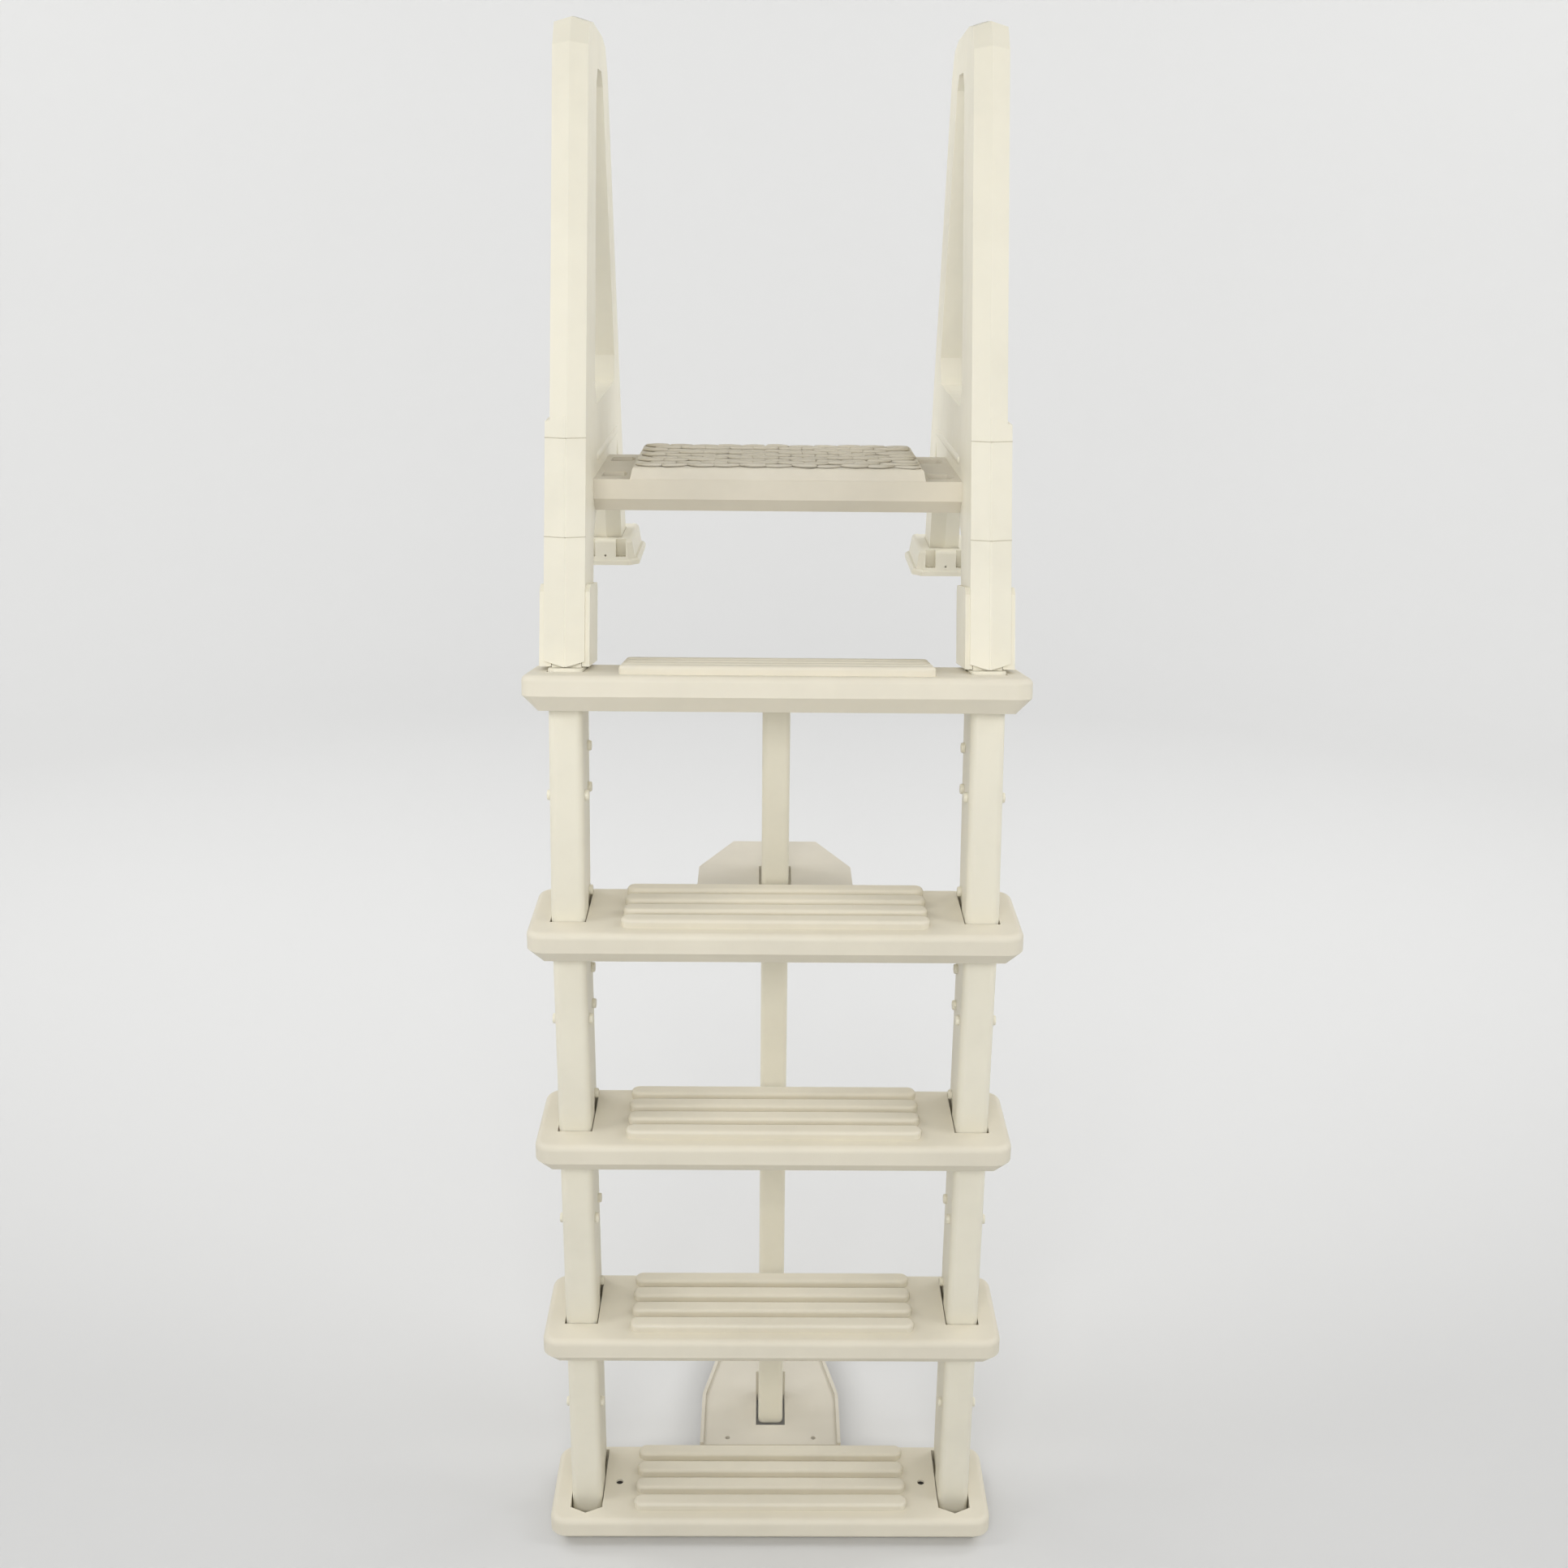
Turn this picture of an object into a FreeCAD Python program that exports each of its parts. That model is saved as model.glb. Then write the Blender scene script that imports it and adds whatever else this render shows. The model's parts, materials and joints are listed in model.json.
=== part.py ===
import FreeCAD, Part
import math
import os
import Sketcher
from FreeCAD import Placement, Rotation, Vector

# Deck-mounted pool ladder: two side rails with five treads, a handrail unit with a
# platform that telescopes over the rails, deck flanges and a centre strut.
# Origin: middle of the bottom tread's underside. +Z up, +X right, +Y towards the deck.

os.makedirs("parts", exist_ok=True)
doc = FreeCAD.newDocument("pool_ladder")
sheet = doc.addObject("Spreadsheet::Sheet", "Sizes")

SIZES = {
    "tread_width": 610, "tread_depth": 154, "tread_thick": 44, "tread_riser": 293,
    "tread_corner": 22, "tread_bevel": 19, "tread_edge": 8, "cavity_wall": 6,
    "top_tread_setback": 38, "top_tread_height": 1180,
    "rib_length": 380, "rib_width": 22, "rib_pitch": 33.5, "rib_height": 11, "rib_start": 31,
    "rib_edge": 4.5, "slot_gap": 1.2,
    "plug_spread": 214, "plug_diameter": 9.8, "plug_depth": 9, "well_diameter": 10, "well_depth": 12,
    "leg_centre": 256.5, "rail_width": 42, "rail_front": 40, "rail_depth": 102,
    "front_tube_depth": 46, "rear_tube_depth": 32, "rear_tube_width": 36, "web_width": 18,
    "rail_bottom": 26, "rail_bend_height": 935, "rail_top": 1232, "rail_lean": 9.5,
    "rail_edge": 9, "foot_bottom": 4, "foot_point": 6,
    "pin_diameter": 13, "pin_stand": 5, "pin_round": 2,
    "front_pin_rise": 150, "front_pin_inset": 22, "rear_pin_rise": 140, "rear_pin_step": 52,
    "rear_pin_inset": 16, "lock_rise": 8,
    "spigot_width": 36, "spigot_depth": 78, "spigot_front": 115, "spigot_top": 1440, "sliding_gap": 0.6,
    "unit_lean": 18.6, "lean_datum": 1240, "leg_ridge": 102.5, "leg_depth": 122,
    "upper_leg_width": 44, "sleeve_width": 50, "sleeve_outset": 3, "collar_width": 61,
    "sleeve_bottom": 1231.4, "collar_top": 1326, "shoulder_height": 1520,
    "facet_angle": 16, "unit_top": 1984, "leg_wall": 9,
    "rear_leg_depth": 92, "rear_leg_back": 735, "rear_datum": 1380, "rear_leg_slope": 0.23,
    "rear_leg_end": 1250, "panel_bottom": 1384, "sill_height": 1519, "opening_top": 1928,
    "platform_top": 1433, "platform_thick": 42, "platform_front": 270, "platform_bevel": 17,
    "platform_depth": 230, "platform_width": 469, "pad_width": 376, "pad_height": 15, "pad_edge": 4,
    "bolt_drop": 13, "bolt_diameter": 8, "bolt_head": 16, "nut_width": 14.8, "nut_thick": 7,
    "flange_bottom": 1249, "flange_drop": 13, "flange_depth": 164, "flange_height": 37,
    "flange_base": 9, "flange_half": 50, "flange_corner": 14, "flange_taper": 9, "flange_round": 6,
    "recess_width": 15, "recess_depth": 16, "recess_floor": 12, "deck_hole": 7,
    "deck_hole_spread": 46, "deck_hole_length": 144,
    "strut_width": 36, "strut_depth": 60, "strut_front": 205, "strut_bottom": 38, "strut_top": 1160,
    "strut_wall": 4, "strut_edge": 7, "strut_end_edge": 6,
    "bracket_width": 206, "bracket_thick": 10, "bracket_shoulder": 108, "skirt_drop": 24,
    "skirt_thick": 8, "lip_thick": 5, "lip_height": 4, "lug_height": 43, "lug_thick": 9,
    "upper_bracket_height": 900, "upper_bracket_end": 361, "upper_bracket_tip": 116,
    "lower_bracket_height": 34, "lower_bracket_end": 450, "lower_bracket_tip": 124,
    "drain_diameter": 7, "drain_spread": 126,
    "screw_diameter": 6, "screw_bore": 6.2, "screw_head": 12, "screw_head_thick": 3.5,
    "knob_diameter": 28, "knob_thick": 13,
}
for row, (alias, value) in enumerate(SIZES.items(), start=1):
    sheet.set("A%d" % row, alias)
    sheet.set("B%d" % row, str(value))
    sheet.setAlias("B%d" % row, alias)
doc.recompute()


def size(alias):
    return float(sheet.get(alias))


MID = size("tread_depth") / 2          # treads' front edge to the origin
LEAN = math.tan(math.radians(size("unit_lean")))
RAIL_SLOPE = math.tan(math.radians(size("rail_lean")))
SIDES = (("left", -1), ("right", 1))
RIBS = 4
OVERRUN = 3                            # how far a cutting shape runs past a face
failures = []


def leaning_outline(front, depth, low, high):
    """Side outline of a straight strip with the handrail unit's lean, its front given at the datum."""
    near = [(front - MID + (z - size("lean_datum")) * LEAN, z) for z in (low, high)]
    far = [(y + depth, z) for y, z in reversed(near)]
    return near + far


def origin_plane(body, role):
    return [item for item in body.Origin.OriginFeatures if item.Role == role][0]


def new_body(name):
    body = doc.addObject("PartDesign::Body", name)
    body.Label = name
    return body


def sketch_on(body, role, offset=0.0, offset_expression=None):
    sketch = body.newObject("Sketcher::SketchObject", body.Name + "_sketch")
    sketch.AttachmentSupport = [(origin_plane(body, role), "")]
    sketch.MapMode = "FlatFace"
    sketch.AttachmentOffset = Placement(Vector(0, 0, offset), Rotation())
    if offset_expression:
        sketch.setExpression("AttachmentOffset.Base.z", offset_expression)
    return sketch


def draw_outline(sketch, points):
    first = sketch.GeometryCount
    count = len(points)
    for index in range(count):
        start = Vector(points[index][0], points[index][1], 0)
        end = Vector(points[(index + 1) % count][0], points[(index + 1) % count][1], 0)
        sketch.addGeometry(Part.LineSegment(start, end), False)
    for index in range(count):
        nxt = first + (index + 1) % count
        sketch.addConstraint(Sketcher.Constraint("Coincident", first + index, 2, nxt, 1))


def draw_rectangle(sketch, low_x, low_y, wide, high, wide_is=None, high_is=None):
    first = sketch.GeometryCount
    corners = [(low_x, low_y), (low_x + wide, low_y), (low_x + wide, low_y + high), (low_x, low_y + high)]
    draw_outline(sketch, corners)
    for index, kind in enumerate(("Horizontal", "Vertical", "Horizontal", "Vertical")):
        sketch.addConstraint(Sketcher.Constraint(kind, first + index))
    width = sketch.addConstraint(Sketcher.Constraint("DistanceX", first, 1, first, 2, wide))
    height = sketch.addConstraint(Sketcher.Constraint("DistanceY", first + 1, 1, first + 1, 2, high))
    sketch.addConstraint(Sketcher.Constraint("DistanceX", -1, 1, first, 1, low_x))
    sketch.addConstraint(Sketcher.Constraint("DistanceY", -1, 1, first, 1, low_y))
    if wide_is:
        sketch.setExpression("Constraints[%d]" % width, wide_is)
    if high_is:
        sketch.setExpression("Constraints[%d]" % height, high_is)


def draw_circle(sketch, x, y, radius, radius_is=None):
    index = sketch.addGeometry(Part.Circle(Vector(x, y, 0), Vector(0, 0, 1), radius), False)
    rule = sketch.addConstraint(Sketcher.Constraint("Radius", index, radius))
    if radius_is:
        sketch.setExpression("Constraints[%d]" % rule, radius_is)


def pad(body, sketch, length_is, midplane=False, taper=0.0):
    feature = body.newObject("PartDesign::Pad", body.Name + "_pad")
    feature.Profile = sketch
    feature.setExpression("Length", length_is)
    feature.Midplane = midplane
    if taper:
        feature.TaperAngle = taper
    doc.recompute()
    return feature


def pocket(body, sketch, length_is, midplane=False, reverse=False, through=False):
    before = body.Shape.Volume
    feature = body.newObject("PartDesign::Pocket", body.Name + "_pocket")
    feature.Profile = sketch
    if through:
        feature.Type = "ThroughAll"
    else:
        feature.setExpression("Length", length_is)
    feature.Midplane = midplane
    feature.Reversed = reverse
    doc.recompute()
    if body.Shape.Volume > before - 1:
        failures.append(feature.Name + " cuts nothing")
    return feature


def dress(body, kind, size_is, test):
    """Rounds or bevels the edges that pass the test; the feature is dropped if it fails."""
    base = body.Tip
    names = ["Edge%d" % (i + 1) for i, edge in enumerate(base.Shape.Edges) if test(edge)]
    feature = body.newObject("PartDesign::" + kind, body.Name + "_" + kind.lower())
    feature.Base = (base, names)
    feature.setExpression("Radius" if kind == "Fillet" else "Size", size_is)
    doc.recompute()
    if not names or "Invalid" in feature.State or "Error" in feature.State or not feature.Shape.isValid():
        print("dress failed:", body.Name, kind, size_is, len(names))
        body.removeObject(feature)
        doc.removeObject(feature.Name)
        body.Tip = base
        doc.recompute()


def flat_at(height):
    return lambda edge: all(abs(v.Z - height) < 0.01 for v in edge.Vertexes)


def hollow(body, low, wide, deep, high):
    """A closed air space inside a blow-moulded wall."""
    box = body.newObject("PartDesign::SubtractiveBox", body.Name + "_cavity")
    box.Length = wide
    box.Width = deep
    box.Height = high
    box.Placement = Placement(Vector(*low), Rotation())
    doc.recompute()


# ---- treads -----------------------------------------------------------------

def rail_front_at(height):
    """Y of the side rail's front face at a height, from the treads' front edge."""
    bend = size("rail_bend_height")
    return size("rail_front") + max(0.0, height - bend) * RAIL_SLOPE


def band_outline(offset, depth):
    """Side outline of a strip of the rail, offset behind its front; its top is square to the lean."""
    def edge(behind):
        top = size("rail_top") - behind * RAIL_SLOPE
        heights = (size("rail_bottom"), size("rail_bend_height"), top)
        return [(rail_front_at(z) + behind - MID, z) for z in heights]

    return edge(offset) + edge(offset + depth)[::-1]


def make_tread(number, height_is, setback, tilt):
    """A tread built about the middle of its underside, then raised, set back and tilted."""
    body = new_body("tread_%d" % number)
    thick = size("tread_thick")
    base = sketch_on(body, "XY_Plane")
    draw_rectangle(base, -size("tread_width") / 2, -MID, size("tread_width"), size("tread_depth"),
                   "Sizes.tread_width", "Sizes.tread_depth")
    pad(body, base, "Sizes.tread_thick")
    dress(body, "Fillet", "Sizes.tread_corner",
          lambda e: abs(e.Vertexes[0].X - e.Vertexes[-1].X) < 0.01 and abs(e.Length - thick) < 0.01)
    dress(body, "Chamfer", "Sizes.tread_bevel", flat_at(0))
    dress(body, "Fillet", "Sizes.tread_edge", flat_at(thick))
    ribs = sketch_on(body, "XY_Plane", thick)
    radius = size("rib_width") / 2
    for rib in range(RIBS):
        y = size("rib_start") - MID + rib * size("rib_pitch")
        draw_rib(ribs, size("rib_length") / 2 - radius, y, radius)
    pad(body, ribs, "Sizes.rib_height")
    dress(body, "Fillet", "Sizes.rib_edge", flat_at(thick + size("rib_height")))
    body.setExpression("Placement.Base.z", height_is)
    doc.recompute()
    middle = body.Placement.Base.z + thick / 2
    across = math.cos(math.radians(tilt))
    gap = size("slot_gap")
    front = (rail_front_at(middle) - setback - MID) * across - gap
    back = front + size("rail_depth") * across + 2 * gap
    for _, side in SIDES:
        slot = sketch_on(body, "YZ_Plane", side * size("leg_centre"))
        draw_outline(slot, [(front, -OVERRUN), (back, -OVERRUN),
                            (back, thick + OVERRUN), (front, thick + OVERRUN)])
        pocket(body, slot, "Sizes.rail_width + 2 * Sizes.slot_gap", midplane=True)
    wall = size("cavity_wall")
    inner = size("leg_centre") - size("rail_width") / 2 - 3 * wall
    inset = size("tread_bevel") + 1
    hollow(body, (-inner, inset - MID, wall),
           2 * inner, size("tread_depth") - 2 * inset, thick - 2 * wall)
    turn = Rotation(Vector(1, 0, 0), -tilt)
    swing = turn.multVec(Vector(0, 0, -thick / 2))
    body.Placement = Placement(Vector(0, setback + swing.y, middle + swing.z), turn)


def draw_rib(sketch, half, y, radius):
    """A straight rib with round ends."""
    first = sketch.GeometryCount
    up = Vector(0, 0, 1)
    quarter = math.pi / 2
    sketch.addGeometry(Part.LineSegment(Vector(-half, y - radius, 0), Vector(half, y - radius, 0)), False)
    right = Part.Circle(Vector(half, y, 0), up, radius)
    sketch.addGeometry(Part.ArcOfCircle(right, -quarter, quarter), False)
    sketch.addGeometry(Part.LineSegment(Vector(half, y + radius, 0), Vector(-half, y + radius, 0)), False)
    left = Part.Circle(Vector(-half, y, 0), up, radius)
    sketch.addGeometry(Part.ArcOfCircle(left, quarter, 3 * quarter), False)
    for index in range(4):
        nxt = first + (index + 1) % 4
        sketch.addConstraint(Sketcher.Constraint("Coincident", first + index, 2, nxt, 1))


tread_bottoms = [size("top_tread_height")] + [step * size("tread_riser") for step in (3, 2, 1, 0)]
make_tread(1, "Sizes.top_tread_height", size("top_tread_setback"), size("rail_lean"))
for number, step in ((2, 3), (3, 2), (4, 1), (5, 0)):
    make_tread(number, "Sizes.tread_riser * %d" % step, 0.0, 0.0)


# ---- side rails with their feet and pins --------------------------------------

def make_rail(name, side):
    body = new_body("side_rail_" + name)
    bands = (
        ("Sizes.web_width", 0.0, size("rail_depth")),
        ("Sizes.rail_width", 0.0, size("front_tube_depth")),
        ("Sizes.rear_tube_width", size("rail_depth") - size("rear_tube_depth"), size("rear_tube_depth")),
    )
    for width_is, offset, depth in bands:
        sketch = sketch_on(body, "YZ_Plane", side * size("leg_centre"))
        draw_outline(sketch, band_outline(offset, depth))
        pad(body, sketch, width_is, midplane=True)
    faces = [side * size("leg_centre") + half * size("rail_width") / 2 for half in (-1, 1)]

    def on_front_corner(vertex):
        on_side = min(abs(vertex.X - x) for x in faces) < 0.01
        return on_side and abs(vertex.Y - (rail_front_at(vertex.Z) - MID)) < 0.01

    dress(body, "Fillet", "Sizes.rail_edge",
          lambda e: e.Length > 200 and all(on_front_corner(v) for v in e.Vertexes))
    overlap = 20
    spigot = sketch_on(body, "YZ_Plane", side * size("leg_centre"))
    draw_outline(spigot, leaning_outline(size("spigot_front"), size("spigot_depth"),
                                         size("rail_top") - overlap, size("spigot_top")))
    pad(body, spigot, "Sizes.spigot_width", midplane=True)


def make_foot(name, side):
    """Plug that closes the rail's lower end inside the bottom tread."""
    body = new_body("rail_foot_" + name)
    sketch = sketch_on(body, "XY_Plane", size("foot_bottom"))
    half = size("rail_width") / 2
    x = side * size("leg_centre")
    front = size("rail_front") - MID
    back = front + size("rail_depth")
    cheek = front + size("foot_point")
    draw_outline(sketch, [(x - half, cheek), (x, front), (x + half, cheek),
                          (x + half, back), (x - half, back)])
    pad(body, sketch, "Sizes.rail_bottom - Sizes.foot_bottom")


def group(name, solids):
    """Several separate solids that share one node."""
    feature = doc.addObject("Part::Feature", name)
    feature.Label = name
    feature.Shape = Part.makeCompound(solids)


def pin_row(side, group_name, places, through):
    """Round pegs across the rail, as one group of separate solids."""
    half = through / 2 + size("pin_stand")
    solids = []
    for y, z in places:
        start = Vector(side * size("leg_centre") - half, y - MID, z)
        peg = Part.makeCylinder(size("pin_diameter") / 2, 2 * half, start, Vector(1, 0, 0))
        ends = [e for e in peg.Edges if len(e.Vertexes) == 1]
        solids.append(peg.makeFillet(size("pin_round"), ends))
    group(group_name, solids)
    return solids


def cut_from(body_name, solids):
    """Holes and air spaces, kept as a cut on top of a body."""
    base = doc.getObject(body_name)
    tools = doc.addObject("Part::Feature", body_name + "_bores")
    tools.Shape = Part.makeCompound(solids)
    cut = doc.addObject("Part::Cut", body_name + "_drilled")
    cut.Base = base
    cut.Tool = tools
    doc.recompute()
    return cut


def peg_places():
    """Places of the pegs above each tread: through the front tube, the rear tube, and the locks."""
    tops = [bottom + size("tread_thick") for bottom in tread_bottoms[1:]]
    front = []
    rear = []
    locks = []
    for top in tops:
        z = top + size("front_pin_rise")
        front.append((rail_front_at(z) + size("front_pin_inset"), z))
    rear_line = size("rail_depth") - size("rear_pin_inset")
    for top in tops[:-1]:
        low = top + size("rear_pin_rise")
        for z in (low, low + size("rear_pin_step")):
            rear.append((rail_front_at(z) + rear_line, z))
        z = top + size("lock_rise")
        locks.append((rail_front_at(z) + rear_line, z))
    return front, rear, locks


final = {}
for name, side in SIDES:
    make_rail(name, side)
    make_foot(name, side)
    front, rear, locks = peg_places()
    pegs = pin_row(side, "front_pins_" + name, front, size("rail_width"))
    pegs += pin_row(side, "rear_pins_" + name, rear, size("rear_tube_width"))
    pegs += pin_row(side, "tread_locks_" + name, locks, size("rear_tube_width"))
    final["side_rail_" + name] = cut_from("side_rail_" + name, pegs)


# ---- handrail unit ------------------------------------------------------------

def leg_y(height):
    """Y of the front leg's ridge line, which leans back at a constant angle."""
    return size("leg_ridge") - MID + (height - size("lean_datum")) * LEAN


def rear_y(height):
    """Y of the rear leg's back line."""
    return size("rear_leg_back") - MID - (height - size("rear_datum")) * size("rear_leg_slope")


def leg_point(height, behind):
    """A point behind the ridge line, on a cut through the leg that is parallel to the top tread."""
    z = height - behind * RAIL_SLOPE
    return (leg_y(z) + behind, z)


def handrail_outline():
    """Side outline: sleeve line, front leg, rounded top, rear leg and the panel's lower edge."""
    top = size("unit_top")
    deep = size("rear_leg_depth")
    end = size("rear_leg_end")
    low = size("panel_bottom")
    leg = size("leg_depth")
    front_turn = top - 34
    back_turn = top - 52
    haunch = 45
    return [
        leg_point(size("sleeve_bottom"), 0),
        (leg_y(front_turn), front_turn), (leg_y(front_turn) + 28, top - 4), (leg_y(top) + 60, top),
        (rear_y(top) - 60, top - 6), (rear_y(top) - 14, top - 16), (rear_y(back_turn) + 1, back_turn),
        (rear_y(end), end), (rear_y(end) - deep, end),
        (rear_y(low + haunch - 5) - deep, low + haunch - 5), (rear_y(low) - deep - haunch, low),
        (leg_y(low) + leg + 30, low), (leg_y(low - 25) + leg, low - 25),
        leg_point(size("sleeve_bottom"), leg),
    ]


def opening_outline():
    """The hand opening between the two legs, with its corners cut off."""
    top = size("opening_top")
    sill = size("sill_height")
    corner = 18
    front = size("leg_depth") - 8
    back = 6 - size("rear_leg_depth")
    return [
        (leg_y(sill) + front + 30, sill), (leg_y(sill + 22) + front + 6, sill + 22),
        (leg_y(top - corner) + front, top - corner), (leg_y(top) + front + 14, top),
        (rear_y(top) + back - 12, top), (rear_y(top) + back + 4, top - corner),
        (rear_y(sill) + back - 4, sill + 40), (rear_y(sill) + back - 22, sill + 4),
    ]


def collar_outline():
    """The reinforcing cheek at the sleeve's mouth, with its top corners cut off."""
    low = size("sleeve_bottom")
    top = size("collar_top")
    corner = 8
    front = 12
    back = size("leg_depth") - 7
    return [
        leg_point(low, front), leg_point(top - corner, front), leg_point(top, front + corner),
        leg_point(top, back - corner), leg_point(top - corner, back), leg_point(low, back),
    ]


def make_handrail(name, side):
    body = new_body("handrail_" + name)
    x = side * size("leg_centre")
    facet = size("facet_angle")
    mouth = size("sleeve_bottom")
    shoulder = size("shoulder_height")
    leg = size("leg_depth")
    sleeve = [leg_point(mouth, 0), (leg_y(shoulder), shoulder),
              (leg_y(shoulder) + leg, shoulder), leg_point(mouth, leg)]
    sections = (
        ("Sizes.upper_leg_width", 0, handrail_outline(), facet),
        ("Sizes.sleeve_width", size("sleeve_outset"), sleeve, facet),
        ("Sizes.collar_width", size("sleeve_outset"), collar_outline(), 0.0),
    )
    for width_is, outset, outline, angle in sections:
        for reverse in (False, True):
            sketch = sketch_on(body, "YZ_Plane", x + side * outset)
            draw_outline(sketch, outline)
            feature = pad(body, sketch, width_is + " / 2", taper=-angle)
            feature.Reversed = reverse
            doc.recompute()
    opening = sketch_on(body, "YZ_Plane", x)
    draw_outline(opening, opening_outline())
    pocket(body, opening, "Sizes.collar_width", midplane=True)
    gap = size("sliding_gap")
    bore = sketch_on(body, "YZ_Plane", x)
    draw_outline(bore, leaning_outline(size("spigot_front") - gap, size("spigot_depth") + 2 * gap,
                                       mouth - 30, shoulder - 12))
    pocket(body, bore, "Sizes.spigot_width + 2 * Sizes.sliding_gap", midplane=True)


for name, side in SIDES:
    make_handrail(name, side)


# ---- platform between the handrails ---------------------------------------------

POCKET_HALF = 16                       # half the nut pocket's width


def end_pockets():
    """Centres of the four nut pockets in the platform's ends, with their side."""
    inset = 45
    front = size("platform_front") - MID + inset
    rear = front + size("platform_depth") - 2 * inset
    x = size("platform_width") / 2 - POCKET_HALF - 8
    return [(side * x, y, side) for _, side in SIDES for y in (front, rear)]


def make_platform():
    body = new_body("platform")
    bottom = size("platform_top") - size("platform_thick")
    front = size("platform_front") - MID
    base = sketch_on(body, "XY_Plane", bottom)
    draw_rectangle(base, -size("platform_width") / 2, front, size("platform_width"),
                   size("platform_depth"), "Sizes.platform_width", "Sizes.platform_depth")
    pad(body, base, "Sizes.platform_thick")
    dress(body, "Chamfer", "Sizes.platform_bevel", lambda e: flat_at(bottom)(e) and e.Length > 400)
    mat = sketch_on(body, "XY_Plane", size("platform_top"))
    draw_rectangle(mat, -size("pad_width") / 2, front + 1, size("pad_width"),
                   size("platform_depth") - 8, "Sizes.pad_width")
    feature = pad(body, mat, "Sizes.pad_height")
    feature.TaperAngle = -12
    doc.recompute()
    dress(body, "Fillet", "Sizes.pad_edge", flat_at(size("platform_top") + size("pad_height")))
    holes = sketch_on(body, "XY_Plane", size("platform_top"))
    wide = POCKET_HALF
    deep = POCKET_HALF + 4
    for x, y, _ in end_pockets():
        draw_outline(holes, [(x - wide, y - deep), (x + wide - 6, y - deep), (x + wide, y - deep + 12),
                             (x + wide, y + deep - 12), (x + wide - 6, y + deep), (x - wide, y + deep)])
    pocket(body, holes, "Sizes.platform_thick - 16")
    inset = 22
    wall = size("cavity_wall")
    hollow(body, (10 - size("pad_width") / 2, front + inset, bottom + wall), size("pad_width") - 20,
           size("platform_depth") - 2 * inset, size("platform_thick") - wall)


def make_bolt(x, y, side):
    """A bolt through the handrail and the pocket's wall, its nut, and the bore for both."""
    radius = size("bolt_diameter") / 2
    beyond = size("nut_thick") * 2
    handrail_face = size("leg_centre") + size("upper_leg_width") / 2
    wall_face = abs(x) + POCKET_HALF
    out = Vector(side, 0, 0)
    height = size("platform_top") - size("bolt_drop")
    start = Vector(side * (wall_face - beyond), y, height)
    length = handrail_face - wall_face + beyond
    head = Part.makeCylinder(size("bolt_head") / 2, 4.5, Vector(side * handrail_face, y, height), out)
    rim = [e for e in head.Edges if len(e.Vertexes) == 1 and abs(e.CenterOfMass.x) > handrail_face + 2]
    bolt = Part.makeCylinder(radius, length, start, out).fuse(head.makeFillet(2.2, rim)).removeSplitter()
    bore = Part.makeCylinder(radius + 0.2, length + 30, start - out * 20, out)
    nut_radius = size("nut_width") / 2
    turns = [math.radians(60 * k) for k in range(7)]
    corners = [Vector(0, nut_radius * math.cos(turn), nut_radius * math.sin(turn)) for turn in turns]
    hexagon = Part.Face(Part.makePolygon(corners))
    hexagon.translate(Vector(side * (wall_face - size("nut_thick")), y, height))
    nut = hexagon.extrude(out * size("nut_thick"))
    return bolt, nut.cut(Part.makeCylinder(radius, 40, start - out * 20, out)), bore


make_platform()
bolts, nuts, bores = zip(*[make_bolt(x, y, side) for x, y, side in end_pockets()])
group("platform_bolts", bolts)
group("platform_nuts", nuts)
final["platform"] = cut_from("platform", bores)


# ---- deck flanges ---------------------------------------------------------------

def flange_level(side):
    """Underside of a flange; the right one is set a little lower."""
    return size("flange_bottom") - (size("flange_drop") if side > 0 else 0)


def flange_middle():
    return rear_y(size("flange_bottom")) - size("rear_leg_depth") / 2


def draw_octagon(sketch, x, y, half_wide, half_deep, corner):
    """A rectangle with its corners cut off."""
    quarter = [(half_wide, half_deep - corner), (half_wide - corner, half_deep)]
    points = []
    for sx, sy in ((1, 1), (-1, 1), (-1, -1), (1, -1)):
        turned = [(x + sx * px, y + sy * py) for px, py in quarter]
        points += turned if sx == sy else turned[::-1]
    draw_outline(sketch, points)


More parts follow.
